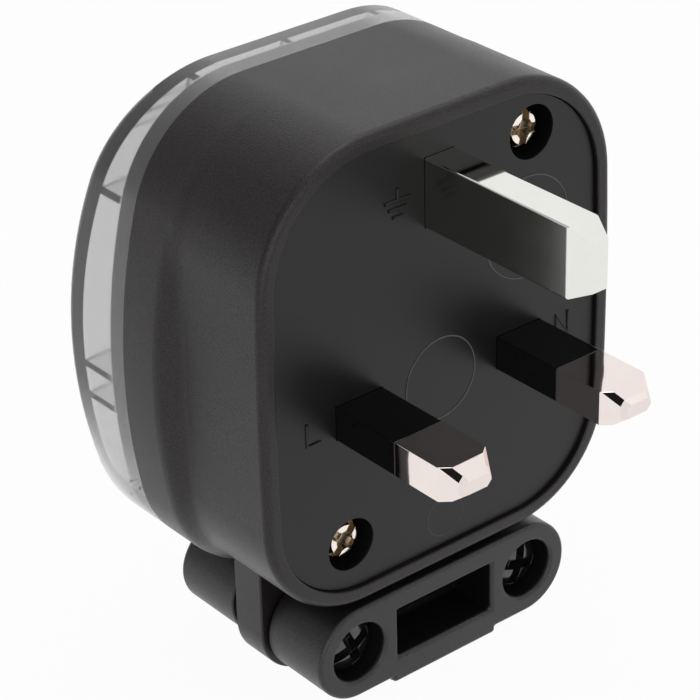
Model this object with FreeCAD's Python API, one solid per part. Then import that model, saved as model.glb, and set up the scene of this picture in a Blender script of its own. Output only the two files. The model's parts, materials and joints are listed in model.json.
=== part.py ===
import FreeCAD, Part
import math
import os

# UK three pin rewirable plug, in millimetres.
# X runs from the live pin to the neutral pin, Y runs from the pin tips into the body and Z is up.
# The origin lies midway between the live and neutral pins, on the face that meets the socket.

V = FreeCAD.Vector
ALONG_X = V(1, 0, 0)
ALONG_Y = V(0, 1, 0)
ALONG_Z = V(0, 0, 1)
OVERRUN = 1.0
NEARLY = 1e-4

# Pins
pin_spacing = 22.23
earth_offset = 22.23
line_pin_width = 6.35
line_pin_height = 3.97
line_pin_length = 17.7
earth_pin_width = 3.97
earth_pin_height = 7.92
earth_pin_length = 22.73
tip_side_bevel = 2.6
line_tip_width = 3.4
line_tip_bevel = 1.65
line_tip_height = 1.5
line_tip_facet = 0.5
earth_tip_width = 1.9
earth_tip_height = 5.4
sleeve_reach = 8.7
sleeve_wall = 0.6

# Rear outline, at the pin face
rear_half_width = 24.2
rear_top = 31.3
rear_bottom = -22.9
rear_side_radius = 400.0
rear_top_corner = 14.5
rear_bottom_corner = 13.0

# Front outline, at the flange
front_half_width = 26.3
front_top = 31.3
front_bottom = -23.7
front_side_radius = 70.0
front_top_corner = 15.0
front_bottom_corner = 13.4
side_middle = 1.0

# Housing
rim_width = 1.9
rim_edge_radius = 0.9
rim_edge_bands = 3
panel_recess = 0.6
wall = 2.0
ledge_width = 1.3
ledge_thickness = 1.4
flare_start = 12.4
flare_length = 3.4
flare_bands = 4
housing_depth = 20.9
spigot_root = 2.0
spigot_depth = 3.5
spigot_inset = 3.2
spigot_gap = 0.1

# Pin base
base_thickness = 3.0
base_gap = 0.1
hole_gap = 0.05
post_radius = 3.8
post_height = 8.4
pad_height = 2.5
barrier_thickness = 1.2
barrier_height = 8.0
barrier_offset = 6.1

# Case screws
case_screw_x = 12.7
upper_screw_z = 24.5
lower_screw_z = -15.4
case_counterbore_radius = 3.05
case_head_sink = 1.8
case_head_radius = 2.75
case_head_height = 2.8
case_slot_width = 1.0
case_slot_depth = 1.6
case_cross_reach = 1.7
case_slot_turn = 32.0
case_shank_radius = 1.5
case_hole_radius = 1.75
case_engagement = 7.0
insert_radius = 2.6
insert_length = 8.0

# Front cover
cover_depth = 31.9
arch_radius = 95.0
arch_middle = 3.0
cover_wall = 1.8
cover_front_wall = 2.6
cover_edge_bevel = 1.2
cover_seat_gap = 0.05
boss_gap = 0.3
rib_thickness = 0.8
rib_reach = 7.0
side_rib_heights = (19.4, -0.5, -4.3)
top_rib_places = (-12.0, 0.0, 12.0)

# Terminals and fuse
block_width = 8.0
block_depth = 9.0
block_margin = 1.0
line_block_height = 10.0
wire_hole_radius = 1.9
wire_hole_depth = 4.6
terminal_screw_radius = 1.6
terminal_head_radius = 2.6
terminal_head_height = 2.2
terminal_slot_width = 0.9
terminal_slot_depth = 1.1
live_head_width = 7.6
live_head_height = 7.0
fuse_length = 25.4
fuse_cap_radius = 3.175
fuse_cap_length = 5.6
fuse_tube_radius = 2.95
fuse_cap_wall = 0.2
fuse_low_end = -2.6
clip_gap = 0.025
clip_sheet = 0.6
clip_width = 5.0
clip_mouth_half_angle = 42.0
live_block_width = 5.6
live_block_height = 8.0
live_block_x = -18.4
live_block_z = 11.5

# Cord entry and clamp
cord_bore_radius = 4.6
cord_collar_radius = 6.6
cord_collar_top = -18.4
clamp_screw_x = 12.25
clamp_z = -29.3
clamp_rear_radius = 5.65
lug_start = 9.3
lug_thickness = 4.5
lug_radius = 6.2
clamp_gap = 0.1
clamp_slack = 2.2
saddle_radius = 4.8
pocket_width = 13.6
pocket_height = 6.1
pocket_depth = 6.2
foot_width = 15.0
foot_drop = 0.75
clamp_counterbore_radius = 3.5
clamp_counterbore_depth = 4.6
clamp_head_radius = 3.2
clamp_head_height = 3.2
clamp_cross_width = 1.1
clamp_cross_depth = 1.8
clamp_cross_reach = 2.5
clamp_shank_radius = 1.75
clamp_hole_radius = 2.0
front_barrel_radius = 5.15
front_barrel_length = 10.5
barrel_end_bevel = 1.2
front_bridge_depth = 5.6
clamp_screw_bite = 7.5

# Levels that several pieces share
live_x = -pin_spacing / 2
neutral_x = pin_spacing / 2
base_inner = panel_recess + base_thickness
ledge_end = base_inner + ledge_thickness
spigot_start = housing_depth - spigot_root
spigot_end = housing_depth + spigot_depth
post_end = base_inner + post_height
pad_top = base_inner + pad_height
clip_radius = fuse_cap_radius + clip_gap
fuse_y = pad_top + clip_sheet + clip_radius
fuse_high_end = fuse_low_end + fuse_length
lower_clip_z = fuse_low_end + fuse_cap_length / 2
upper_clip_z = fuse_high_end - fuse_cap_length / 2
case_seat = panel_recess + case_head_sink + case_head_height
lug_end = lug_start + lug_thickness
rear_clamp_end = lug_start - clamp_gap
front_barrel_start = lug_end + clamp_slack
front_barrel_end = front_barrel_start + front_barrel_length
clamp_screw_end = front_barrel_start + clamp_screw_bite
cord_y = (rear_clamp_end + front_barrel_start) / 2
foot_bottom = clamp_z - clamp_rear_radius - foot_drop
case_screw_places = ((case_screw_x, upper_screw_z), (-case_screw_x, lower_screw_z))
clamp_screw_places = (-clamp_screw_x, clamp_screw_x)


def box(x0, x1, y0, y1, z0, z1):
    return Part.makeBox(x1 - x0, y1 - y0, z1 - z0, V(x0, y0, z0))


def rod(radius, x, z, y0, y1):
    return Part.makeCylinder(radius, y1 - y0, V(x, y0, z), ALONG_Y)


def taper(radii, x, z, y0, y1):
    """Round bar about the Y direction that narrows evenly from the first radius to the second."""
    rings = [Part.Wire(Part.makeCircle(radius, V(x, y, z), ALONG_Y)) for radius, y in zip(radii, (y0, y1))]
    return Part.makeLoft(rings, True, True)


def prism(points, direction):
    return Part.Face(Part.makePolygon(points + [points[0]])).extrude(direction)


def one_solid(shape):
    return shape.removeSplitter().Solids[0]


def blend(start, end, share):
    return start + (end - start) * share


def body_wire(y, share, inset):
    """Closed outline at depth y, inset from the surface: share 0 is the rear outline, 1 the front one."""
    half_width = blend(rear_half_width, front_half_width, share)
    top = blend(rear_top, front_top, share)
    bottom = blend(rear_bottom, front_bottom, share)
    side_radius = 1 / blend(1 / rear_side_radius, 1 / front_side_radius, share)
    corners = (
        (top, blend(rear_top_corner, front_top_corner, share), 1),
        (bottom, blend(rear_bottom_corner, front_bottom_corner, share), -1),
    )
    side_x = half_width - side_radius
    starts, middles, ends = [], [], []
    for edge_z, corner, sign in corners:
        centre_z = edge_z - sign * corner
        rise = centre_z - side_middle
        run = math.sqrt((side_radius - corner) ** 2 - rise ** 2)
        centre_x = side_x + run
        lean = math.atan2(rise, run)
        half_turn = (lean + sign * math.pi / 2) / 2
        reach = corner - inset
        starts.append((centre_x, edge_z - sign * inset))
        middles.append((centre_x + reach * math.cos(half_turn), centre_z + reach * math.sin(half_turn)))
        ends.append((centre_x + reach * math.cos(lean), centre_z + reach * math.sin(lean)))

    def at(point, side):
        return V(side * point[0], y, point[1])

    def arc(first, middle, last, side):
        return Part.Arc(at(first, side), at(middle, side), at(last, side)).toShape()

    side_point = (half_width - inset, side_middle)
    edges = [
        Part.makeLine(at(starts[0], -1), at(starts[0], 1)),
        arc(starts[0], middles[0], ends[0], 1),
        arc(ends[0], side_point, ends[1], 1),
        arc(ends[1], middles[1], starts[1], 1),
        Part.makeLine(at(starts[1], 1), at(starts[1], -1)),
        arc(starts[1], middles[1], ends[1], -1),
        arc(ends[1], side_point, ends[0], -1),
        arc(ends[0], middles[0], starts[0], -1),
    ]
    return Part.Wire(edges)


def body_prism(y0, y1, share, inset):
    return Part.Face(body_wire(y0, share, inset)).extrude(V(0, y1 - y0, 0))


def banded_body(levels):
    """Body through a list of levels, each a depth, a share of the front outline and an inset."""
    return Part.makeLoft([body_wire(*level) for level in levels], True, True)


def quarter_round(radius, bands):
    """Steps round a convex edge as pairs: how far in from one face, how far down from the other."""
    turns = [math.pi / 2 * index / bands for index in range(bands + 1)]
    return [(radius * (1 - math.sin(turn)), radius * (1 - math.cos(turn))) for turn in turns]


def outer_body():
    """Body with a rounded rim edge and a smooth step out to the flange."""
    levels = [(down, 0, inset) for inset, down in quarter_round(rim_edge_radius, rim_edge_bands)]
    for index in range(flare_bands + 1):
        part = index / flare_bands
        levels.append((flare_start + flare_length * part, part * part * (3 - 2 * part), 0))
    levels.append((housing_depth, 1, 0))
    return banded_body(levels)


def lug(x):
    """Flat plate with a rounded foot, rooted inside the body's bottom corner."""
    foot = rod(lug_radius, x, clamp_z, lug_start, lug_end)
    root_top = rear_bottom + rear_bottom_corner / 2
    return foot.fuse(box(x - lug_radius, x + lug_radius, lug_start, lug_end, clamp_z, root_top))


def spigot():
    """Ring that stands up from the wall's inside and locates the cover."""
    root = body_prism(spigot_start, housing_depth, 1, wall / 2)
    ring = root.fuse(body_prism(housing_depth, spigot_end, 1, cover_wall + spigot_gap))
    return ring.cut(body_prism(spigot_start, spigot_end, 1, spigot_inset))


def housing():
    shell = outer_body().fuse([lug(x) for x in clamp_screw_places])
    pocket = body_prism(-OVERRUN, base_inner, 0, rim_width)
    window = body_prism(base_inner, ledge_end, 0, rim_width + ledge_width)
    room = body_prism(ledge_end, housing_depth + OVERRUN, 0, wall)
    shell = shell.cut([pocket, window, room])
    shell = shell.fuse(spigot())
    collar_height = cord_collar_top - front_bottom
    collar = Part.makeCylinder(cord_collar_radius, collar_height, V(0, cord_y, front_bottom), ALONG_Z)
    shell = shell.fuse(collar.common(body_prism(0, housing_depth, 0, wall / 2)))
    bore_height = cord_collar_top - clamp_z
    shell = shell.cut(Part.makeCylinder(cord_bore_radius, bore_height, V(0, cord_y, clamp_z), ALONG_Z))
    for x in clamp_screw_places:
        shell = shell.cut(rod(clamp_hole_radius, x, clamp_z, lug_start, lug_end))
    for x, z in case_screw_places:
        shell = shell.cut(rod(post_radius + base_gap, x, z, base_inner, post_end))
    return one_solid(shell)


def bevelled_blade(width, height, y_tip, y_end, tip_width, side_bevel, tip_height, face_bevel):
    """Flat pin about the Y axis with bevels on all four sides of its tip."""
    half, tip_half = width / 2, tip_width / 2
    plan = [
        V(-half, y_end, -height), V(half, y_end, -height), V(half, y_tip + side_bevel, -height),
        V(tip_half, y_tip, -height), V(-tip_half, y_tip, -height), V(-half, y_tip + side_bevel, -height),
    ]
    high, tip_high = height / 2, tip_height / 2
    side = [
        V(-width, y_end, -high), V(-width, y_end, high), V(-width, y_tip + face_bevel, high),
        V(-width, y_tip, tip_high), V(-width, y_tip, -tip_high), V(-width, y_tip + face_bevel, -high),
    ]
    return prism(plan, V(0, 0, 2 * height)).common(prism(side, V(2 * width, 0, 0)))


def slanted_edges(shape):
    """Edges that run along none of the three axes or planes."""
    found = []
    for edge in shape.Edges:
        run = edge.Vertexes[-1].Point - edge.Vertexes[0].Point
        if min(abs(run.x), abs(run.y), abs(run.z)) > NEARLY:
            found.append(edge)
    return found


def line_blade():
    tip = bevelled_blade(line_pin_width, line_pin_height, -line_pin_length, -sleeve_reach,
                         line_tip_width, tip_side_bevel, line_tip_height, line_tip_bevel)
    tip = tip.makeChamfer(line_tip_facet, slanted_edges(tip))
    return tip.fuse(line_core(-sleeve_reach, base_inner))


def line_core(y0, y1):
    half_width = line_pin_width / 2 - sleeve_wall
    half_height = line_pin_height / 2 - sleeve_wall
    return box(-half_width, half_width, y0, y1, -half_height, half_height)


def sleeve():
    half_width = line_pin_width / 2
    half_height = line_pin_height / 2
    outer = box(-half_width, half_width, -sleeve_reach, base_inner, -half_height, half_height)
    return outer.cut(line_core(-sleeve_reach, base_inner))


def wired_block(width, height, x, z, y0):
    """Brass block with an upright wire hole and a screw hole from the front."""
    y1 = y0 + block_depth
    block = box(x - width / 2, x + width / 2, y0, y1, z - height / 2, z + height / 2)
    wire_y = y0 + wire_hole_depth
    wire = Part.makeCylinder(wire_hole_radius, height, V(x, wire_y, z - height / 2), ALONG_Z)
    return block.cut(wire).cut(rod(terminal_screw_radius, x, z, wire_y, y1))


def terminal_screw(x, z, y0):
    """Screw whose tip stands in the wire hole and whose slotted head seats on the block."""
    seat = y0 + block_depth
    top = seat + terminal_head_height
    shank = rod(terminal_screw_radius, x, z, y0 + wire_hole_depth, seat)
    head = rod(terminal_head_radius, x, z, seat, top)
    half = terminal_slot_width / 2
    reach = terminal_head_radius
    slot = box(x - reach, x + reach, top - terminal_slot_depth, top, z - half, z + half)
    return shank.fuse(head).removeSplitter().cut(slot)


def earth_pin():
    blade = bevelled_blade(earth_pin_width, earth_pin_height, -earth_pin_length, base_inner,
                           earth_tip_width, tip_side_bevel, earth_tip_height, tip_side_bevel)
    blade.translate(V(0, 0, earth_offset))
    block = wired_block(block_width, earth_pin_height + 2 * block_margin, 0, earth_offset, base_inner)
    return one_solid(blade.fuse(block))


def neutral_pin():
    blade = line_blade()
    blade.translate(V(neutral_x, 0, 0))
    return one_solid(blade.fuse(wired_block(block_width, line_block_height, neutral_x, 0, base_inner)))


def live_pin():
    blade = line_blade()
    half_width = live_head_width / 2
    half_height = live_head_height / 2
    head = box(-half_width, half_width, base_inner, pad_top, -half_height, half_height)
    pin = blade.fuse(head)
    pin.translate(V(live_x, 0, 0))
    return one_solid(pin)


def placed_sleeve(x):
    tube = sleeve()
    tube.translate(V(x, 0, 0))
    return tube


def strip_bounds():
    """Plan of the strip between the upper fuse clip and the live terminal."""
    left = live_block_x - live_block_width / 2
    right = live_x + clip_radius
    return left, right, live_block_z - live_block_height / 2, upper_clip_z - clip_width / 2


def clip_ring(z):
    """Open spring ring that grips a fuse cap, on a flat foot."""
    low = z - clip_width / 2
    outer = Part.makeCylinder(clip_radius + clip_sheet, clip_width, V(live_x, fuse_y, low), ALONG_Z)
    foot_top = pad_top + clip_sheet
    foot = box(live_x - clip_radius, live_x + clip_radius, pad_top, foot_top, low, low + clip_width)
    reach = 2 * clip_radius
    spread = reach * math.tan(math.radians(clip_mouth_half_angle))
    mouth = prism([V(live_x, fuse_y, low), V(live_x + spread, fuse_y + reach, low),
                   V(live_x - spread, fuse_y + reach, low)], V(0, 0, clip_width))
    seat = Part.makeCylinder(clip_radius, clip_width, V(live_x, fuse_y, low), ALONG_Z)
    return outer.cut(mouth).fuse(foot).cut(seat)


def upper_fuse_clip():
    left, right, low, joint = strip_bounds()
    block_right = live_block_x + live_block_width / 2
    arm = box(left, right, pad_top, pad_top + clip_sheet, joint, joint + clip_width / 2)
    leg = box(left, block_right, pad_top, pad_top + clip_sheet, low, joint)
    return one_solid(clip_ring(upper_clip_z).fuse([arm, leg]))


def live_terminal():
    return wired_block(live_block_width, live_block_height, live_block_x, live_block_z, pad_top + clip_sheet)


def terminal_screws():
    return Part.makeCompound([
        terminal_screw(0, earth_offset, base_inner),
        terminal_screw(neutral_x, 0, base_inner),
        terminal_screw(live_block_x, live_block_z, pad_top + clip_sheet),
    ])


def upright(radius, z0, z1):
    return Part.makeCylinder(radius, z1 - z0, V(live_x, fuse_y, z0), ALONG_Z)


def fuse_tube():
    return upright(fuse_tube_radius, fuse_low_end + fuse_cap_wall, fuse_high_end - fuse_cap_wall)


def fuse_cap(z0, z1):
    return upright(fuse_cap_radius, z0, z1).cut(fuse_tube())


def pin_base():
    plate = body_prism(panel_recess, base_inner, 0, rim_width + base_gap)
    posts = [rod(post_radius, x, z, base_inner, post_end) for x, z in case_screw_places]
    left, right, low, joint = strip_bounds()
    pad = box(left, right, base_inner, pad_top, joint, joint + clip_width)
    pad = pad.fuse(box(left, live_block_x + live_block_width / 2, base_inner, pad_top, low, joint))
    pad = pad.common(body_prism(base_inner, pad_top, 0, rim_width + ledge_width + base_gap))
    half = barrier_thickness / 2
    barrier_low = -line_block_height / 2
    barrier_high = earth_offset - earth_pin_height / 2 - block_margin
    barriers = [box(x - half, x + half, base_inner, base_inner + barrier_height, barrier_low, barrier_high)
                for x in (-barrier_offset, barrier_offset)]
    base = plate.fuse(posts + [pad] + barriers)
    for x in (live_x, neutral_x):
        half_width = line_pin_width / 2 + hole_gap
        half_height = line_pin_height / 2 + hole_gap
        base = base.cut(box(x - half_width, x + half_width, 0, base_inner, -half_height, half_height))
    half_width = earth_pin_width / 2 + hole_gap
    half_height = earth_pin_height / 2 + hole_gap
    base = base.cut(box(-half_width, half_width, 0, base_inner,
                        earth_offset - half_height, earth_offset + half_height))
    for x, z in case_screw_places:
        base = base.cut(rod(case_counterbore_radius, x, z, 0, case_seat))
        base = base.cut(rod(case_hole_radius, x, z, case_seat, post_end))
    return one_solid(base)


def headed_screw(x, z, top, seat, end, head_radius, shank_radius):
    """Cheese head screw that faces the pins."""
    return rod(head_radius, x, z, top, seat).fuse(rod(shank_radius, x, z, seat, end)).removeSplitter()


def cross(x, z, top, depth, width, reach_x, reach_z):
    half = width / 2
    upright_arm = box(x - half, x + half, top, top + depth, z - reach_z, z + reach_z)
    return upright_arm.fuse(box(x - reach_x, x + reach_x, top, top + depth, z - half, z + half))


def case_screw(x, z):
    """Screw with a slot right across its head and a short cross arm."""
    top = case_seat - case_head_height
    end = post_end + case_engagement
    screw = headed_screw(x, z, top, case_seat, end, case_head_radius, case_shank_radius)
    slots = cross(x, z, top, case_slot_depth, case_slot_width, case_cross_reach, case_head_radius)
    return screw.cut(slots.rotate(V(x, top, z), ALONG_Y, case_slot_turn))


def case_screws():
    return Part.makeCompound([case_screw(x, z) for x, z in case_screw_places])


def screw_inserts():
    start = post_end + cover_seat_gap
    return Part.makeCompound([
        rod(insert_radius, x, z, start, start + insert_length).cut(
            rod(case_shank_radius, x, z, start, start + insert_length))
        for x, z in case_screw_places])


def arch(radius):
    """Cylinder across the body whose surface is the cover's front."""
    reach = front_half_width + OVERRUN
    return Part.makeCylinder(radius, 2 * reach, V(-reach, cover_depth - arch_radius, arch_middle), ALONG_X)


def front_edges(shape):
    axis_y = cover_depth - arch_radius
    found = []
    for edge in shape.Edges:
        middle = edge.valueAt((edge.FirstParameter + edge.LastParameter) / 2)
        if abs(math.hypot(middle.y - axis_y, middle.z - arch_middle) - arch_radius) < NEARLY:
            found.append(edge)
    return found


def corner_ribs():
    """Thin webs between the cover's walls and its front."""
    start = spigot_end + spigot_gap
    half = rib_thickness / 2
    slabs = [box(-front_half_width, front_half_width, start, cover_depth, z - half, z + half)
             for z in side_rib_heights]
    slabs += [box(x - half, x + half, start, cover_depth, side_middle, front_top) for x in top_rib_places]
    outer = body_prism(start, cover_depth, 1, cover_wall / 2)
    ring = outer.cut(body_prism(start, cover_depth, 1, cover_wall + rib_reach))
    ring = ring.common(arch(arch_radius - cover_front_wall / 2))
    return [slab.common(ring) for slab in slabs]


def boss(x, z):
    """Post inside the cover's front that takes an insert, clear of the spigot."""
    start = post_end + cover_seat_gap
    front_middle = arch(arch_radius - cover_front_wall / 2)
    clear = body_prism(start, spigot_end + boss_gap, 1, spigot_inset + boss_gap)
    clear = clear.fuse(body_prism(spigot_end + boss_gap, cover_depth, 1, cover_wall / 2))
    return rod(post_radius, x, z, start, cover_depth).common(front_middle).common(clear)


def front_cover():
    block = body_prism(housing_depth, cover_depth, 1, 0).common(arch(arch_radius))
    block = block.makeChamfer(cover_edge_bevel, front_edges(block))
    room = body_prism(housing_depth, cover_depth, 1, cover_wall).common(arch(arch_radius - cover_front_wall))
    cover = block.cut(room).fuse(corner_ribs() + [boss(x, z) for x, z in case_screw_places])
    insert_start = post_end + cover_seat_gap
    for x, z in case_screw_places:
        cover = cover.cut(rod(insert_radius, x, z, insert_start, insert_start + insert_length))
    return one_solid(cover)


def clamp_bar(y0, y1, radius):
    """Bar across both clamp screws, with a flat foot below and round ends."""
    bar = box(-clamp_screw_x, clamp_screw_x, y0, y1, clamp_z - radius, clamp_z + radius)
    foot = box(-foot_width / 2, foot_width / 2, y0, y1, foot_bottom, clamp_z)
    ends = [rod(radius, x, clamp_z, y0, y1) for x in clamp_screw_places]
    return bar.fuse([foot] + ends)


def cord_saddle():
    height = 4 * clamp_rear_radius
    return Part.makeCylinder(saddle_radius, height, V(0, cord_y, clamp_z - height / 2), ALONG_Z)


def clamp_rear():
    bar = clamp_bar(0, rear_clamp_end, clamp_rear_radius).removeSplitter()
    pocket = box(-pocket_width / 2, pocket_width / 2, -OVERRUN, pocket_depth,
                 clamp_z - pocket_height / 2, clamp_z + pocket_height / 2)
    bar = bar.cut(pocket).cut(cord_saddle())
    for x in clamp_screw_places:
        bar = bar.cut(rod(clamp_counterbore_radius, x, clamp_z, -OVERRUN, clamp_counterbore_depth))
        bar = bar.cut(rod(clamp_hole_radius, x, clamp_z, clamp_counterbore_depth, rear_clamp_end))
    return one_solid(bar)


def front_barrel(x):
    """Barrel of the front half, with a bevelled end."""
    bevel_start = front_barrel_end - barrel_end_bevel
    bevel_radii = (front_barrel_radius, front_barrel_radius - barrel_end_bevel)
    barrel = rod(front_barrel_radius, x, clamp_z, front_barrel_start, bevel_start)
    return barrel.fuse(taper(bevel_radii, x, clamp_z, bevel_start, front_barrel_end))


def clamp_front():
    bar = clamp_bar(front_barrel_start, front_barrel_start + front_bridge_depth, front_barrel_radius)
    bar = bar.fuse([front_barrel(x) for x in clamp_screw_places]).removeSplitter().cut(cord_saddle())
    for x in clamp_screw_places:
        bar = bar.cut(rod(clamp_shank_radius, x, clamp_z, front_barrel_start, clamp_screw_end))
    return one_solid(bar)


def clamp_screw(x):
    top = clamp_counterbore_depth - clamp_head_height
    screw = headed_screw(x, clamp_z, top, clamp_counterbore_depth, clamp_screw_end,
                         clamp_head_radius, clamp_shank_radius)
    return screw.cut(cross(x, clamp_z, top, clamp_cross_depth, clamp_cross_width,
                           clamp_cross_reach, clamp_cross_reach))


def clamp_screws():
    return Part.makeCompound([clamp_screw(x) for x in clamp_screw_places])


def pieces():
    return {
        "housing": housing(),
        "pin_base": pin_base(),
        "front_cover": front_cover(),
        "earth_pin": earth_pin(),
        "neutral_pin": neutral_pin(),
        "live_pin": live_pin(),
        "neutral_sleeve": placed_sleeve(neutral_x),
        "live_sleeve": placed_sleeve(live_x),
        "lower_fuse_clip": one_solid(clip_ring(lower_clip_z)),
        "upper_fuse_clip": upper_fuse_clip(),
        "live_terminal": live_terminal(),
        "terminal_screws": terminal_screws(),
        "fuse_tube": fuse_tube(),
        "lower_fuse_cap": fuse_cap(fuse_low_end, fuse_low_end + fuse_cap_length),
        "upper_fuse_cap": fuse_cap(fuse_high_end - fuse_cap_length, fuse_high_end),
        "case_screws": case_screws(),
        "screw_inserts": screw_inserts(),
        "clamp_rear": clamp_rear(),
        "clamp_front": clamp_front(),
        "clamp_screws": clamp_screws(),
    }


def main():
    os.makedirs("parts", exist_ok=True)
    for name, shape in pieces().items():
        shape.exportStep(f"parts/{name}.step")


main()
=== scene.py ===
import json
import math

import bpy
from mathutils import Matrix, Vector


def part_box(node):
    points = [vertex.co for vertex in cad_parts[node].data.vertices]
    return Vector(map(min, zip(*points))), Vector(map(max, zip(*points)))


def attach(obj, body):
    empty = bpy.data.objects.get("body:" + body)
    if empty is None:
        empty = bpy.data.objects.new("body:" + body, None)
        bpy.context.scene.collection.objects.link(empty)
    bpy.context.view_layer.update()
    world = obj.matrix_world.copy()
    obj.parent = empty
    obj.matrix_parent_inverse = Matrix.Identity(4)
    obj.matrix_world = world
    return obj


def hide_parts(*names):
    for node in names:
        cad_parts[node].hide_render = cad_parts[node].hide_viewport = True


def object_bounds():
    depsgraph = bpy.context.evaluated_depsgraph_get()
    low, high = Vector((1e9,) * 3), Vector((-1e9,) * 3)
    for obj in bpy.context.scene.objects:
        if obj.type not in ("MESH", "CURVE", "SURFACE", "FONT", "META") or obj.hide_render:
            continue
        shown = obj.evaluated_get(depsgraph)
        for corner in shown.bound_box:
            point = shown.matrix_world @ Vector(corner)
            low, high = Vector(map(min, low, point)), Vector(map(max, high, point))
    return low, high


# UK three pin plug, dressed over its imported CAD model.
# Lengths are in metres unless a comment gives them in millimetres.
# X runs from the live pin to the neutral pin, Y into the body and Z up.

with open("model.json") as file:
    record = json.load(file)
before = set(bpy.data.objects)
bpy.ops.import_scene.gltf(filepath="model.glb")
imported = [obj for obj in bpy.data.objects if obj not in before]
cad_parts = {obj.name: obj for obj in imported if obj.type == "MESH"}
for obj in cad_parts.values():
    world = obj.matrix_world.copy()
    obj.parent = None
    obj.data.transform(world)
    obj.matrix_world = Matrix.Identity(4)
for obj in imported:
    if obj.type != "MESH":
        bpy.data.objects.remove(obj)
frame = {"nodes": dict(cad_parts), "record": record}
cad_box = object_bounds()
nodes = frame["nodes"]

MM = 0.001

# Camera, fitted to the pins in the photo
CAMERA_PLACE = Vector((-0.16432, -0.18751, 0.14282))
CAMERA_DIRECTION = Vector((0.549191, 0.679126, -0.487008))
CAMERA_UP = Vector((0.32568, 0.36276, 0.87312))
CAMERA_LENS_MM = 140.35
CAMERA_SENSOR_MM = 36.0
CAMERA_CLIP = 0.01

# Studio: each lamp has a name, a place, a size and a power
WHITE = (1, 1, 1, 1)
AMBIENT_STRENGTH = 0.45
FLOOR_GLOW = 0.96
FLOOR_HALF = 2.0
FLOOR_COLOURS = ((0.88, 0.88, 0.88), (0.90, 0.90, 0.90))
FLOOR_ROUGHNESS = 0.9
LAMP_TARGET = Vector((0, 0.01, 0))
LAMPS = (
    ("overhead", (0.10, 0.05, 0.55), 0.40, 0.9),
    ("front fill", (-0.30, -0.45, 0.05), 0.30, 0.5),
)

# Dark parts of the studio as reflections see them, towards one side and towards the camera:
# the cosines between which they darken, and how dark they get
SHADE_SIDE = Vector((-0.75, 0.45, 0.48)).normalized()
SHADE_SPREAD = (0.2, 0.95)
SHADE_DEPTH = 0.54
LENS_SPREAD = (0.965, 0.985)
LENS_DEPTH = 0.988

# Edges: shading splits above an angle, and these nodes get a bevel of this width in millimetres
SHARP_ANGLE = math.radians(38)
FACETED_ANGLE = math.radians(10)
FACETED_NODES = ("earth_pin", "live_pin", "neutral_pin")
WELD_DISTANCE = 1e-6
FLAT_ANGLE = math.radians(0.5)
BEVEL_WIDTHS = {
    "housing": 0.22,
    "front_cover": 0.6,
    "earth_pin": 0.2,
    "neutral_pin": 0.06,
    "live_pin": 0.06,
    "neutral_sleeve": 0.14,
    "live_sleeve": 0.14,
    "clamp_rear": 0.5,
    "clamp_front": 0.25,
}

# The cover's edges are rounded only where they are blunter than a limit,
# the pins' only behind their bevelled ends, whose lengths are in millimetres,
# and the housing's only this far behind its joint with the cover, in millimetres
BLUNT_ANGLE = math.radians(60)
BEVELLED_ENDS = {"earth_pin": 1.5, "live_pin": 1.3, "neutral_pin": 1.3}
JOINT_MARGIN = 0.3

# Noises of the materials: features per metre and levels of detail,
# and the range of a noise that drives a colour or a value
DRIFT_NOISE = (60.0, 3.0)
HAZE_NOISE = (350.0, 4.0)
RIPPLE_NOISE = (180.0, 1.0)
FLOW_NOISE = (45.0, 2.0)
SPECKLE_NOISE = (900.0, 4.0)
PAPER_NOISE = (300.0, 2.0)
GRAIN_DETAIL = 2.0
NOISE_RANGE = (0.3, 0.7)

# Relief of the materials: a strength, or a depth and a strength
GRAIN_STRENGTH = 0.5
RIPPLE_STRENGTH = 0.3
FLOW_RELIEF = (0.00004, 0.3)
SPECKLE_RELIEF = (0.00002, 0.4)

# Smoky cover: the light taken up per metre, the share of light that its haze scatters,
# and the share that passes straight through, unbent, below a low level, none above a high one: painted
# light that lightens its lower edge
COVER_IOR = 1.5
COVER_TINTS = ((0.97, 0.97, 0.97), (1.0, 1.0, 1.0))
COVER_ROUGHNESS = (0.19, 0.23)
COVER_SMOKE = 150.0
SMOKE_COLOUR = (0.5, 0.5, 0.51, 1)
COVER_HAZE = 0.04
HAZE_COLOUR = (0.85, 0.85, 0.86, 1)
PAINTED_LIGHT_LEVELS = (-0.017, -0.004)
PAINTED_LIGHT_SHARE = 0.75

# Fuse tube
CERAMIC_COLOURS = ((0.74, 0.72, 0.66), (0.82, 0.80, 0.75))
CERAMIC_ROUGHNESS = (0.45, 0.6)

# Painted shade in the moulded recesses, whose insides shine far less so that they look shaded; in
# millimetres: lowest and highest corner of each
SHADED_RECESS_SHINE = 0.03
BASE_SHADED_RECESSES = (
    ((9.6, 0.8, 21.4), (15.8, 6.0, 27.6)),
    ((-15.8, 0.8, -18.5), (-9.6, 6.0, -12.3)),
)
CLAMP_SHADED_RECESSES = (
    ((-6.85, 0.6, -32.4), (6.85, 7.0, -26.2)),
    ((-15.8, 0.6, -32.85), (-8.7, 4.7, -25.75)),
    ((8.7, 0.6, -32.85), (15.8, 4.7, -25.75)),
)

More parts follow.
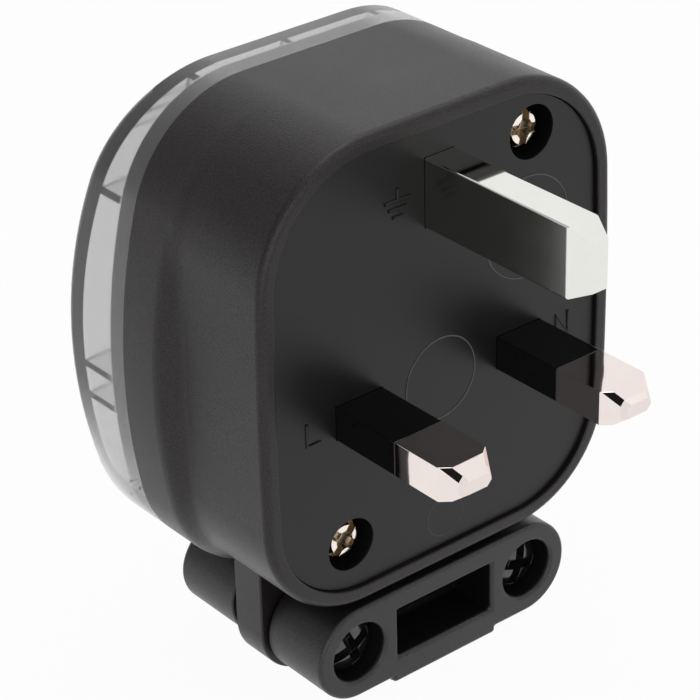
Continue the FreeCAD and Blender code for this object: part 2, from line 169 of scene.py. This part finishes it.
# Moulded plastics by material slot: grain has features per metre and a depth,
# and pits is how much less the grain's hollows shine
MOULDED = {
    "housing_black": {
        "name": "housing plastic",
        "colours": ((0.0105, 0.0075, 0.0078), (0.014, 0.01, 0.0104)),
        "roughness": (0.30, 0.38),
        "grain": (7000.0, 0.00009),
        "shine": 0.38,
        "pits": 0.9,
    },
    "base_black": {
        "name": "base plastic",
        "colours": ((0.0065, 0.0065, 0.0068), (0.0085, 0.0085, 0.009)),
        "roughness": (0.30, 0.38),
        "grain": (9000.0, 0.00003),
        "shine": 0.34,
        "shaded_recesses": BASE_SHADED_RECESSES,
    },
    "clamp_black": {
        "name": "clamp plastic",
        "colours": ((0.0085, 0.0075, 0.0078), (0.0115, 0.0105, 0.0108)),
        "roughness": (0.34, 0.42),
        "grain": (8000.0, 0.00005),
        "shine": 0.55,
        "shaded_recesses": CLAMP_SHADED_RECESSES,
        "pits": 0.9,
    },
    "sleeve_black": {
        "name": "sleeve plastic",
        "colours": ((0.0025, 0.0025, 0.003), (0.004, 0.004, 0.0045)),
        "roughness": (0.10, 0.16),
        "grain": (2600.0, 0.000004),
        "shine": 0.4,
    },
    "screw_black": {
        "name": "black screw coat",
        "colours": ((0.008, 0.008, 0.008), (0.012, 0.012, 0.012)),
        "roughness": (0.12, 0.18),
        "grain": (3000.0, 0.00001),
        "shine": 1.0,
    },
}

# Painted highlight on the moulded rings: a lighter colour than the panel's, standing in for the light
# their ridges catch
RING_PAINTED_HIGHLIGHT = {
    "name": "ring painted highlight",
    "colours": ((0.05, 0.05, 0.05), (0.08, 0.08, 0.08)),
    "roughness": (0.22, 0.3),
    "grain": (3000.0, 0.00001),
    "shine": 0.5,
}

# Duller faces of the plated pieces, where the loss of colour is painted shade: a coordinate, its axis,
# the least value along it, added roughness and the loss of each colour
# Painted shade: the earth pin's flat sides lose colour, standing in for the dark panel they reflect;
# only their extra roughness is the sheared faces' own
SHEARED_AND_SHADED_SIDES = ("Normal", "X", 0.99, 0.17, (0.52, 0.52, 0.52))
WORN_ENDS = ("Object", "Y", 17.05 * MM, 0.35, (0.0, 0.0, 0.0))
# Painted shade: the screw heads' deeper parts, down in their recesses, are darkened and warmed
SHADED_SCREW_RECESS = ("Object", "Y", 1.85 * MM, 0.12, (0.52, 0.57, 0.65))

# Plated metals by material slot: ripple is the depth of its waves
PLATED = {
    "pin_plated": {
        "name": "earth pin nickel",
        "colours": ((0.785, 0.792, 0.745), (0.815, 0.822, 0.775)),
        "roughness": (0.03, 0.05),
        "ripple": 0.00001,
        "dull_and_shade": SHEARED_AND_SHADED_SIDES,
    },
    "screw_plated": {
        "name": "screw nickel",
        "colours": ((0.90, 0.82, 0.72), (0.97, 0.90, 0.82)),
        "roughness": (0.08, 0.14),
        "ripple": 0.00003,
        "dull_and_shade": SHADED_SCREW_RECESS,
    },
    "fuse_cap_plated": {
        "name": "fuse cap nickel",
        "colours": ((0.72, 0.71, 0.69), (0.80, 0.79, 0.77)),
        "roughness": (0.12, 0.20),
        "ripple": 0.00002,
    },
    "clip_brass": {
        "name": "brass",
        "colours": ((0.66, 0.46, 0.18), (0.76, 0.56, 0.26)),
        "roughness": (0.20, 0.32),
        "ripple": 0.00003,
    },
    "terminal_steel": {
        "name": "zinc plate",
        "colours": ((0.55, 0.55, 0.54), (0.64, 0.64, 0.63)),
        "roughness": (0.22, 0.34),
        "ripple": 0.00003,
    },
}

# Plate of the live and neutral pins, which is warmer than the earth pin's
LINE_PIN_PLATE = {
    "name": "line pin nickel",
    "colours": ((0.84, 0.755, 0.72), (0.87, 0.785, 0.75)),
    "roughness": (0.03, 0.05),
    "ripple": 0.00012,
    "dull_and_shade": WORN_ENDS,
}

# Screws, in millimetres: places are X and Z with a turn from the vertical in degrees,
# heads have a radius, a height, a dome radius and a rise of the dome above the node's plain head,
# domes have a radius and a shoulder's drop, each recess arm has half its size along X,
# half its size along Z and its depth, and the middle of a recess has a radius at the top,
# one at the bottom and its depth
SCREW_STEPS = 64
DOME_RINGS = 10
DOME_CENTRE_SHARE = 0.02
RECESS_START = -1
SCREW_BEVEL = 0.05
CASE_SCREW = {
    "node": "case_screws",
    "slot": "screw_plated",
    "places": ((12.7, 24.5, 8.0), (-12.7, -15.4, 40.0)),
    "head": (2.75, 2.8, 14.0, 0.8),
    "dome": (1.75, 1.6),
    "shank": 1.5,
    "arms": ((0.5, 2.15, 1.3), (2.15, 0.5, 1.3)),
    "middle": (1.1, 0.4, 1.7),
}
CLAMP_SCREW = {
    "node": "clamp_screws",
    "slot": "screw_black",
    "places": ((-12.25, -29.3, -21.0), (12.25, -29.3, 16.0)),
    "head": (3.2, 3.2, 6.5, 0.0),
    "dome": (3.2, 0.0),
    "shank": 1.75,
    "arms": ((0.62, 2.7, 2.0), (2.7, 0.62, 2.0)),
    "middle": None,
}

# Marks on the panel, in millimetres: places are X and Z, the earth sign has the heights of its
# stem's ends, half the length of each bar and the bars' spacing, and rings have a radius and a line
MARK_LINE = 0.19
MARK_ROUNDING = 2
LETTER_HEIGHT = 2.6
LETTER_WIDTH = 1.75
LIVE_LETTER = (-18.15, -1.2)
NEUTRAL_LETTER = (16.6, -1.1)
EARTH_SIGN = (-5.6, 22.2)
EARTH_STEM = (1.78, 0.45)
EARTH_BARS = (1.7, 1.2, 0.7)
EARTH_SPACING = 0.9
RING_STEPS = 72
RINGS = (
    ("large_ring", (12.2, 13.7), 5.85, 0.09),
    ("middle_ring", (0.0, 0.0), 4.8, 0.09),
    ("lower_ring", (0.5, -17.3), 2.5, 0.04),
)


# Node helpers

def feed(tree, sockets, sources):
    """Links each source to its socket, or sets the socket where the source is a plain value."""
    for socket, source in zip(sockets, sources):
        if isinstance(source, bpy.types.NodeSocket):
            tree.links.new(source, socket)
        else:
            socket.default_value = source


def number_step(tree, operation, first, second):
    """Arithmetic on two numbers or number sockets."""
    step = tree.nodes.new("ShaderNodeMath")
    step.operation = operation
    feed(tree, step.inputs, (first, second))
    return step.outputs[0]


def vector_step(tree, operation, first, second=(0, 0, 0), result="Vector"):
    """Arithmetic on two vectors or vector sockets."""
    step = tree.nodes.new("ShaderNodeVectorMath")
    step.operation = operation
    feed(tree, step.inputs, (first, second))
    return step.outputs[result]


def map_range(tree, source, limits, results, curve="LINEAR"):
    """Carries a value from one range to another."""
    ramp = tree.nodes.new("ShaderNodeMapRange")
    ramp.interpolation_type = curve
    names = ("From Min", "From Max", "To Min", "To Max")
    for name, value in zip(names, (*limits, *results)):
        ramp.inputs[name].default_value = value
    tree.links.new(source, ramp.inputs["Value"])
    return ramp.outputs["Result"]


def mix_shaders(tree, share, first, second):
    """Two shaders, with a share of the second."""
    mix = tree.nodes.new("ShaderNodeMixShader")
    feed(tree, mix.inputs, (share, first, second))
    return mix.outputs["Shader"]


def coordinate(tree, kind):
    """Texture coordinate of a kind."""
    return tree.nodes.new("ShaderNodeTexCoord").outputs[kind]


def along(tree, source, axis):
    """One axis of a vector."""
    parts = tree.nodes.new("ShaderNodeSeparateXYZ")
    tree.links.new(source, parts.inputs[0])
    return parts.outputs[axis]


def new_material(name):
    """Material with its node tree and its main shader."""
    material = bpy.data.materials.new(name)
    material.use_nodes = True
    tree = material.node_tree
    return material, tree, tree.nodes["Principled BSDF"]


def object_noise(tree, scale, detail):
    """Noise over the object's own coordinates."""
    noise = tree.nodes.new("ShaderNodeTexNoise")
    noise.inputs["Scale"].default_value = scale
    noise.inputs["Detail"].default_value = detail
    tree.links.new(coordinate(tree, "Object"), noise.inputs["Vector"])
    return noise.outputs["Fac"]


def add_bump(tree, bsdf, height, depth, strength):
    """Gives a shader a relief from a height."""
    bump = tree.nodes.new("ShaderNodeBump")
    bump.inputs["Distance"].default_value = depth
    bump.inputs["Strength"].default_value = strength
    tree.links.new(height, bump.inputs["Height"])
    tree.links.new(bump.outputs["Normal"], bsdf.inputs["Normal"])


def vary(tree, noise, socket, results):
    """Drives a shader value between two limits from a noise."""
    tree.links.new(map_range(tree, noise, NOISE_RANGE, results), socket)


def vary_colour(tree, noise, socket, colours):
    """Drives a shader colour between two colours from a noise."""
    ramp = tree.nodes.new("ShaderNodeValToRGB")
    for element, position, colour in zip(ramp.color_ramp.elements, NOISE_RANGE, colours):
        element.position = position
        element.color = (*colour, 1)
    tree.links.new(noise, ramp.inputs["Fac"])
    tree.links.new(ramp.outputs["Color"], socket)


def inside_boxes(tree, boxes):
    """One inside any of the boxes, which are in millimetres, and zero elsewhere."""
    place = coordinate(tree, "Object")
    found = 0.0
    for low, high in boxes:
        low, high = Vector(low) * MM, Vector(high) * MM
        offset = vector_step(tree, "SUBTRACT", place, (low + high) / 2)
        offset = vector_step(tree, "ABSOLUTE", offset)
        outside = vector_step(tree, "SUBTRACT", offset, (high - low) / 2)
        most = number_step(tree, "MAXIMUM", along(tree, outside, "X"), along(tree, outside, "Y"))
        most = number_step(tree, "MAXIMUM", most, along(tree, outside, "Z"))
        found = number_step(tree, "ADD", number_step(tree, "LESS_THAN", most, 0.0), found)
    return found


# Materials

def moulded_plastic(name, colours, roughness, grain, shine, shaded_recesses=(), pits=0.0):
    """Black moulded plastic: grain whose pits can shine less, a slow drift in colour and gloss, and
    painted shade that dims the shine inside given recesses.
    """
    material, tree, bsdf = new_material(name)
    drift = object_noise(tree, *DRIFT_NOISE)
    vary_colour(tree, drift, bsdf.inputs["Base Color"], colours)
    vary(tree, drift, bsdf.inputs["Roughness"], roughness)
    scale, depth = grain
    relief = object_noise(tree, scale, GRAIN_DETAIL)
    add_bump(tree, bsdf, relief, depth, GRAIN_STRENGTH)
    level = shine
    # Painted shade: inside the recesses the plastic shines far less, so that they look shaded
    if shaded_recesses:
        painted_shade = number_step(tree, "MULTIPLY", inside_boxes(tree, shaded_recesses), shine - SHADED_RECESS_SHINE)
        level = number_step(tree, "SUBTRACT", shine, painted_shade)
    if pits:
        share = number_step(tree, "MULTIPLY", relief, 2 * pits)
        share = number_step(tree, "ADD", share, 1 - pits)
        level = number_step(tree, "MULTIPLY", level, share)
    feed(tree, [bsdf.inputs["Specular IOR Level"]], [level])
    return material


def dull_and_shade_faces(tree, bsdf, kind, axis, least, rougher, loss):
    """Makes a plate rougher, and darker with painted shade, where a coordinate is over a least value
    along an axis.
    """
    place = vector_step(tree, "ABSOLUTE", coordinate(tree, kind))
    found = number_step(tree, "GREATER_THAN", along(tree, place, axis), least)
    rough = bsdf.inputs["Roughness"]
    more = number_step(tree, "MULTIPLY", found, rougher)
    tree.links.new(number_step(tree, "ADD", rough.links[0].from_socket, more), rough)
    colour = bsdf.inputs["Base Color"]
    kept = vector_step(tree, "MULTIPLY", found, -Vector(loss))
    kept = vector_step(tree, "ADD", kept, (1, 1, 1))
    tree.links.new(vector_step(tree, "MULTIPLY", colour.links[0].from_socket, kept), colour)


def plated_metal(name, colours, roughness, ripple, dull_and_shade=()):
    """Bright plate over machined brass, with a faint ripple, polishing haze, and where given duller
    faces with painted shade.
    """
    material, tree, bsdf = new_material(name)
    bsdf.inputs["Metallic"].default_value = 1.0
    haze = object_noise(tree, *HAZE_NOISE)
    vary_colour(tree, haze, bsdf.inputs["Base Color"], colours)
    vary(tree, haze, bsdf.inputs["Roughness"], roughness)
    add_bump(tree, bsdf, object_noise(tree, *RIPPLE_NOISE), ripple, RIPPLE_STRENGTH)
    if dull_and_shade:
        dull_and_shade_faces(tree, bsdf, *dull_and_shade)
    return material


def clear_plastic(name):
    """Smoky clear plastic with a little haze, whose lower part passes light straight through as
    painted light that makes it lighter.
    """
    material, tree, bsdf = new_material(name)
    bsdf.inputs["Transmission Weight"].default_value = 1.0
    bsdf.inputs["IOR"].default_value = COVER_IOR
    flow = object_noise(tree, *FLOW_NOISE)
    vary_colour(tree, flow, bsdf.inputs["Base Color"], COVER_TINTS)
    vary(tree, flow, bsdf.inputs["Roughness"], COVER_ROUGHNESS)
    add_bump(tree, bsdf, flow, *FLOW_RELIEF)
    haze = tree.nodes.new("ShaderNodeBsdfDiffuse")
    haze.inputs["Color"].default_value = HAZE_COLOUR
    hazy = mix_shaders(tree, COVER_HAZE, bsdf.outputs["BSDF"], haze.outputs["BSDF"])
    height = along(tree, coordinate(tree, "Object"), "Z")
    # Painted light: below a level the cover lets light pass straight through, which lightens its lower
    # edge
    share = map_range(tree, height, PAINTED_LIGHT_LEVELS, (PAINTED_LIGHT_SHARE, 0.0), "SMOOTHSTEP")
    through = tree.nodes.new("ShaderNodeBsdfTransparent")
    smoke = tree.nodes.new("ShaderNodeVolumeAbsorption")
    smoke.inputs["Color"].default_value = SMOKE_COLOUR
    smoke.inputs["Density"].default_value = COVER_SMOKE
    output = tree.nodes["Material Output"]
    surface = mix_shaders(tree, share, hazy, through.outputs["BSDF"])
    tree.links.new(surface, output.inputs["Surface"])
    tree.links.new(smoke.outputs["Volume"], output.inputs["Volume"])
    return material


def ceramic(name):
    """Speckled, slightly rough ceramic."""
    material, tree, bsdf = new_material(name)
    speckle = object_noise(tree, *SPECKLE_NOISE)
    vary_colour(tree, speckle, bsdf.inputs["Base Color"], CERAMIC_COLOURS)
    vary(tree, speckle, bsdf.inputs["Roughness"], CERAMIC_ROUGHNESS)
    add_bump(tree, bsdf, speckle, *SPECKLE_RELIEF)
    return material


def all_materials():
    """One material for each of the record's material slots, and the line pins' own."""
    found = {slot: moulded_plastic(**look) for slot, look in MOULDED.items()}
    found.update({slot: plated_metal(**look) for slot, look in PLATED.items()})
    found["cover_clear"] = clear_plastic("clear cover plastic")
    found["fuse_ceramic"] = ceramic("fuse ceramic")
    found["live_pin"] = found["neutral_pin"] = plated_metal(**LINE_PIN_PLATE)
    return found


# CAD nodes

def geometry_group(name):
    """Node group from geometry to geometry, with the sockets at its start and its end."""
    group = bpy.data.node_groups.new(name, "GeometryNodeTree")
    for way in ("INPUT", "OUTPUT"):
        group.interface.new_socket("Geometry", in_out=way, socket_type="NodeSocketGeometry")
    enter = group.nodes.new("NodeGroupInput")
    leave = group.nodes.new("NodeGroupOutput")
    return group, enter.outputs["Geometry"], leave.inputs["Geometry"]


def bent_edges(group, limit):
    """One for the edges that turn by more than a limit."""
    angle = group.nodes.new("GeometryNodeInputMeshEdgeAngle")
    return number_step(group, "GREATER_THAN", angle.outputs["Unsigned Angle"], limit)


def shading_group(limit):
    """Welds the faces of a node and splits its shading only at edges sharper than the limit."""
    group, start, end = geometry_group("weld and shade")
    weld = group.nodes.new("GeometryNodeMergeByDistance")
    weld.inputs["Distance"].default_value = WELD_DISTANCE
    shade = group.nodes.new("GeometryNodeSetMeshNormal")
    shade.mode = "SHARPNESS"
    shade.inputs["Remove Custom"].default_value = True
    group.links.new(start, weld.inputs["Geometry"])
    group.links.new(weld.outputs["Geometry"], shade.inputs["Mesh"])
    group.links.new(bent_edges(group, limit), shade.inputs["Edge Sharpness"])
    group.links.new(shade.outputs["Mesh"], end)
    return group


def weights_group(name, weigh, *details):
    """Stores what weigh makes as the bevel weights of a mesh's edges."""
    group, start, end = geometry_group(name)
    store = group.nodes.new("GeometryNodeStoreNamedAttribute")
    store.data_type = "FLOAT"
    store.domain = "EDGE"
    store.inputs["Name"].default_value = "bevel_weight_edge"
    group.links.new(start, store.inputs["Geometry"])
    group.links.new(weigh(group, *details), store.inputs["Value"])
    group.links.new(store.outputs["Geometry"], end)
    return group


def blunt_edges(group):
    """One for the blunt edges, none for smooth and square ones."""
    bent, square = bent_edges(group, SHARP_ANGLE), bent_edges(group, BLUNT_ANGLE)
    return number_step(group, "SUBTRACT", bent, square)


def edges_beside(group, operation, level, limit):
    """One for the bent edges on one side of a level along Y."""
    place = group.nodes.new("GeometryNodeInputPosition")
    depth = along(group, place.outputs["Position"], "Y")
    beside = number_step(group, operation, depth, level)
    return number_step(group, "MULTIPLY", beside, bent_edges(group, limit))


def shank_edges(group, name):
    """One for a pin's edges behind its bevelled end."""
    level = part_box(name)[0][1] + BEVELLED_ENDS[name] * MM
    return edges_beside(group, "GREATER_THAN", level, FACETED_ANGLE)


def body_edges(group):
    """One for the housing's edges away from its joint with the cover."""
    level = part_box("front_cover")[0][1] - JOINT_MARGIN * MM
    return edges_beside(group, "LESS_THAN", level, SHARP_ANGLE)


def soften(node, group, width, limit=SHARP_ANGLE, weights=None):
    """Welds and shades a node, and rounds its edges where a width is given."""
    node.modifiers.new("weld", "NODES").node_group = group
    if not width:
        return
    join = node.modifiers.new("join flat faces", "DECIMATE")
    join.decimate_type = "DISSOLVE"
    join.angle_limit = FLAT_ANGLE
    if weights:
        node.modifiers.new("weights", "NODES").node_group = weights
    bevel = node.modifiers.new("edge", "BEVEL")
    bevel.width = width * MM
    bevel.segments = math.floor(math.pi / 2 / limit) + 1
    bevel.limit_method = "WEIGHT" if weights else "ANGLE"
    bevel.angle_limit = limit
    bevel.use_clamp_overlap = False
    bevel.harden_normals = False
    node.modifiers.new("shade", "NODES").node_group = group
    flat = node.modifiers.new("flat faces", "WEIGHTED_NORMAL")
    flat.keep_sharp = True


def dress_nodes(materials):
    """Gives every CAD node its material and its fine edges."""
    groups = {limit: shading_group(limit) for limit in (SHARP_ANGLE, FACETED_ANGLE)}
    weights = {
        "front_cover": weights_group("cover weights", blunt_edges),
        "housing": weights_group("housing weights", body_edges),
    }
    for name in BEVELLED_ENDS:
        weights[name] = weights_group("pin weights", shank_edges, name)
    for part in frame["record"]["subparts"]:
        name = part["node"]
        node = nodes[name]
        node.data.materials.clear()
        node.data.materials.append(materials.get(name, materials[part["material_slot"]]))
        limit = FACETED_ANGLE if name in FACETED_NODES else SHARP_ANGLE
        soften(node, groups[limit], BEVEL_WIDTHS.get(name), limit, weights.get(name))


# Pieces

def mesh_piece(name, points, faces):
    """Object in the scene from points and faces."""
    mesh = bpy.data.meshes.new(name)
    mesh.from_pydata(points, [], faces)
    mesh.validate()
    piece = bpy.data.objects.new(name, mesh)
    bpy.context.scene.collection.objects.link(piece)
    return piece


def cut_away(piece, cutter):
    """Cuts one mesh from another and drops the cutter."""
    cut = piece.modifiers.new("cut", "BOOLEAN")
    cut.object = cutter
    cut.operation = "DIFFERENCE"
    cut.solver = "EXACT"
    bpy.context.view_layer.update()
    graph = bpy.context.evaluated_depsgraph_get()
    shape = bpy.data.meshes.new_from_object(piece.evaluated_get(graph))
    piece.modifiers.clear()
    piece.data = shape
    bpy.data.objects.remove(cutter)


# Screws

def turned(profile):
    """Closed mesh turned about the Y axis from a profile of radius and depth, in millimetres."""
    points, faces = [], []
    for radius, depth in profile:
        for step in range(SCREW_STEPS):
            turn = 2 * math.pi * step / SCREW_STEPS
            x, z = radius * math.cos(turn), radius * math.sin(turn)
            points.append((x * MM, depth * MM, z * MM))
    for ring in range(len(profile) - 1):
        for step in range(SCREW_STEPS):
            after = (step + 1) % SCREW_STEPS
            low, high = ring * SCREW_STEPS, (ring + 1) * SCREW_STEPS
            faces.append((low + step, high + step, high + after, low + after))
    faces.append(tuple(range(SCREW_STEPS)))
    last = (len(profile) - 1) * SCREW_STEPS
    faces.append(tuple(last + step for step in reversed(range(SCREW_STEPS))))
    return points, faces


def recess_arm(half_x, half_z, depth):
    """Box about the Y axis that starts above the screw's head."""
    points = [(x * MM, y * MM, z * MM) for x in (-half_x, half_x) for y in (RECESS_START, depth)
              for z in (-half_z, half_z)]
    faces = [(0, 1, 3, 2), (4, 6, 7, 5), (0, 4, 5, 1), (2, 3, 7, 6), (0, 2, 6, 4), (1, 5, 7, 3)]
    return points, faces


def recess_shapes(kind):
    """What is cut from a screw's head: the arms, then the round middle."""
    shapes = [recess_arm(*arm) for arm in kind["arms"]]
    if kind["middle"]:
        top, bottom, depth = kind["middle"]
        shapes.append(turned([(top, RECESS_START), (top, 0), (bottom, depth)]))
    return shapes


def screw_profile(kind, length):
    """Radius and depth along a screw from its dome to its end, in millimetres."""
    head_radius, head_height, dome_radius, rise = kind["head"]
    face_radius, shoulder = kind["dome"]
    profile = []
    for ring in range(DOME_RINGS + 1):
        radius = face_radius * max(ring / DOME_RINGS, DOME_CENTRE_SHARE)
        profile.append((radius, dome_radius - math.sqrt(dome_radius ** 2 - radius ** 2)))
    if shoulder:
        profile.append((head_radius, profile[-1][1] + shoulder))
    seat = head_height + rise
    return profile + [(head_radius, seat), (kind["shank"], seat), (kind["shank"], length)]


def detailed_screws(kind, material, group):
    """Domed screws with a finer recess, in place of a node's plain ones."""
    lowest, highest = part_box(kind["node"])
    rise = kind["head"][-1]
    body = turned(screw_profile(kind, (highest[1] - lowest[1]) / MM + rise))
    for index, (x, z, turn) in enumerate(kind["places"]):
        piece = mesh_piece(f"{kind['node']}_{index + 1}", *body)
        for shape in recess_shapes(kind):
            cut_away(piece, mesh_piece("recess", *shape))
        piece.data.transform(Matrix.Rotation(math.radians(turn), 4, "Y"))
        piece.data.transform(Matrix.Translation((x * MM, lowest[1] - rise * MM, z * MM)))
        piece.data.materials.clear()
        piece.data.materials.append(material)
        soften(piece, group, SCREW_BEVEL)
        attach(piece, "root")
        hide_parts(kind["node"])


# Marks on the panel

def raised_lines(name, strokes, material, line=MARK_LINE, cyclic=False):
    """Thin rounded ridges on the panel, each stroke a list of X and Z places in millimetres."""
    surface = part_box("pin_base")[0][1]
    curve = bpy.data.curves.new(name, "CURVE")
    curve.dimensions = "3D"
    curve.bevel_depth = line * MM
    curve.bevel_resolution = MARK_ROUNDING
    curve.use_fill_caps = True
    for stroke in strokes:
        spline = curve.splines.new("POLY")
        spline.points.add(len(stroke) - 1)
        for point, (x, z) in zip(spline.points, stroke):
            point.co = (x * MM, surface, z * MM, 1)
        spline.use_cyclic_u = cyclic
    piece = bpy.data.objects.new(name, curve)
    bpy.context.scene.collection.objects.link(piece)
    curve.materials.append(material)
    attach(piece, "root")


def circle(centre, radius):
    """Places round a centre."""
    x, z = centre
    turns = [2 * math.pi * step / RING_STEPS for step in range(RING_STEPS)]
    return [(x + radius * math.cos(turn), z + radius * math.sin(turn)) for turn in turns]


def panel_marks(material, painted_highlight_material):
    """The letters, the earth sign, and the rings with their painted highlight."""
    x, z = LIVE_LETTER
    letter = [(x, z + LETTER_HEIGHT), (x, z), (x + LETTER_WIDTH, z)]
    raised_lines("live_letter", [letter], material)
    x, z = NEUTRAL_LETTER
    right, top = x + LETTER_WIDTH, z + LETTER_HEIGHT
    raised_lines("neutral_letter", [[(x, z), (x, top), (right, z), (right, top)]], material)
    x, z = EARTH_SIGN
    strokes = [[(x, z + end) for end in EARTH_STEM]]
    for index, half in enumerate(EARTH_BARS):
        height = z + EARTH_STEM[-1] - EARTH_SPACING * index
        strokes.append([(x - half, height), (x + half, height)])
    raised_lines("earth_sign", strokes, material)
    # The rings carry a painted highlight in their lighter colour
    for name, centre, radius, line in RINGS:
        raised_lines(name, [circle(centre, radius)], painted_highlight_material, line, cyclic=True)


# Studio

def shown_rays(tree):
    """One where the camera, a reflection or a clear surface looks at it."""
    path = tree.nodes.new("ShaderNodeLightPath")
    rays = number_step(tree, "ADD", path.outputs["Is Camera Ray"], path.outputs["Is Glossy Ray"])
    rays = number_step(tree, "ADD", rays, path.outputs["Is Transmission Ray"])
    return number_step(tree, "MINIMUM", rays, 1.0)


def darker_towards(tree, side, spread, depth):
    """Rises smoothly to a depth as a direction comes close to one side."""
    facing = vector_step(tree, "DOT_PRODUCT", coordinate(tree, "Generated"), side, "Value")
    return map_range(tree, facing, spread, (0.0, depth), "SMOOTHSTEP")


def reflected_shade(tree):
    """How much darker the studio is in reflections: one side of it, and the camera in front."""
    side = darker_towards(tree, SHADE_SIDE, SHADE_SPREAD, SHADE_DEPTH)
    lens = darker_towards(tree, -CAMERA_DIRECTION, LENS_SPREAD, LENS_DEPTH)
    path = tree.nodes.new("ShaderNodeLightPath")
    shade = number_step(tree, "MAXIMUM", side, lens)
    return number_step(tree, "MULTIPLY", shade, path.outputs["Is Glossy Ray"])


def studio_world():
    """White surroundings that light the object less than they show."""
    world = bpy.data.worlds.new("studio")
    world.use_nodes = True
    tree = world.node_tree
    background = tree.nodes["Background"]
    background.inputs["Color"].default_value = WHITE
    strength = map_range(tree, shown_rays(tree), (0.0, 1.0), (AMBIENT_STRENGTH, 1.0))
    strength = number_step(tree, "SUBTRACT", strength, reflected_shade(tree))
    tree.links.new(strength, background.inputs["Strength"])
    bpy.context.scene.world = world


def floor_material():
    """Pale floor that shows as white and keeps part of the object's shadow."""
    material, tree, bsdf = new_material("floor")
    paper = object_noise(tree, *PAPER_NOISE)
    vary_colour(tree, paper, bsdf.inputs["Base Color"], FLOOR_COLOURS)
    bsdf.inputs["Roughness"].default_value = FLOOR_ROUGHNESS
    glow = tree.nodes.new("ShaderNodeEmission")
    glow.inputs["Color"].default_value = WHITE
    share = number_step(tree, "MULTIPLY", shown_rays(tree), FLOOR_GLOW)
    surface = mix_shaders(tree, share, bsdf.outputs["BSDF"], glow.outputs["Emission"])
    tree.links.new(surface, tree.nodes["Material Output"].inputs["Surface"])
    return material


def floor():
    """Floor under the lowest point of the CAD model."""
    level = cad_box[0][2]
    sides = ((-1, -1), (1, -1), (1, 1), (-1, 1))
    corners = [(x * FLOOR_HALF, y * FLOOR_HALF, level) for x, y in sides]
    piece = mesh_piece("floor", corners, [(0, 1, 2, 3)])
    piece.data.materials.append(floor_material())


def lamps():
    """Soft lamps turned towards the object."""
    for name, place, size, power in LAMPS:
        data = bpy.data.lights.new(name, "AREA")
        data.size = size
        data.energy = power
        lamp = bpy.data.objects.new(name, data)
        lamp.location = place
        aim = LAMP_TARGET - Vector(place)
        lamp.rotation_euler = aim.to_track_quat("-Z", "Y").to_euler()
        bpy.context.scene.collection.objects.link(lamp)


def camera():
    """The photo's camera."""
    data = bpy.data.cameras.new("camera")
    data.lens = CAMERA_LENS_MM
    data.sensor_width = CAMERA_SENSOR_MM
    data.sensor_fit = "HORIZONTAL"
    data.clip_start = CAMERA_CLIP
    piece = bpy.data.objects.new("camera", data)
    right = CAMERA_DIRECTION.cross(CAMERA_UP).normalized()
    up = right.cross(CAMERA_DIRECTION).normalized()
    turn = Matrix((right, up, -CAMERA_DIRECTION.normalized())).transposed().to_4x4()
    piece.matrix_world = Matrix.Translation(CAMERA_PLACE) @ turn
    bpy.context.scene.collection.objects.link(piece)
    bpy.context.scene.camera = piece


materials = all_materials()
dress_nodes(materials)
screw_shading = shading_group(SHARP_ANGLE)
for kind in (CASE_SCREW, CLAMP_SCREW):
    detailed_screws(kind, materials[kind["slot"]], screw_shading)
panel_marks(materials["base_black"], moulded_plastic(**RING_PAINTED_HIGHLIGHT))
studio_world()
floor()
lamps()
camera()
bpy.context.scene.view_settings.view_transform = "Standard"
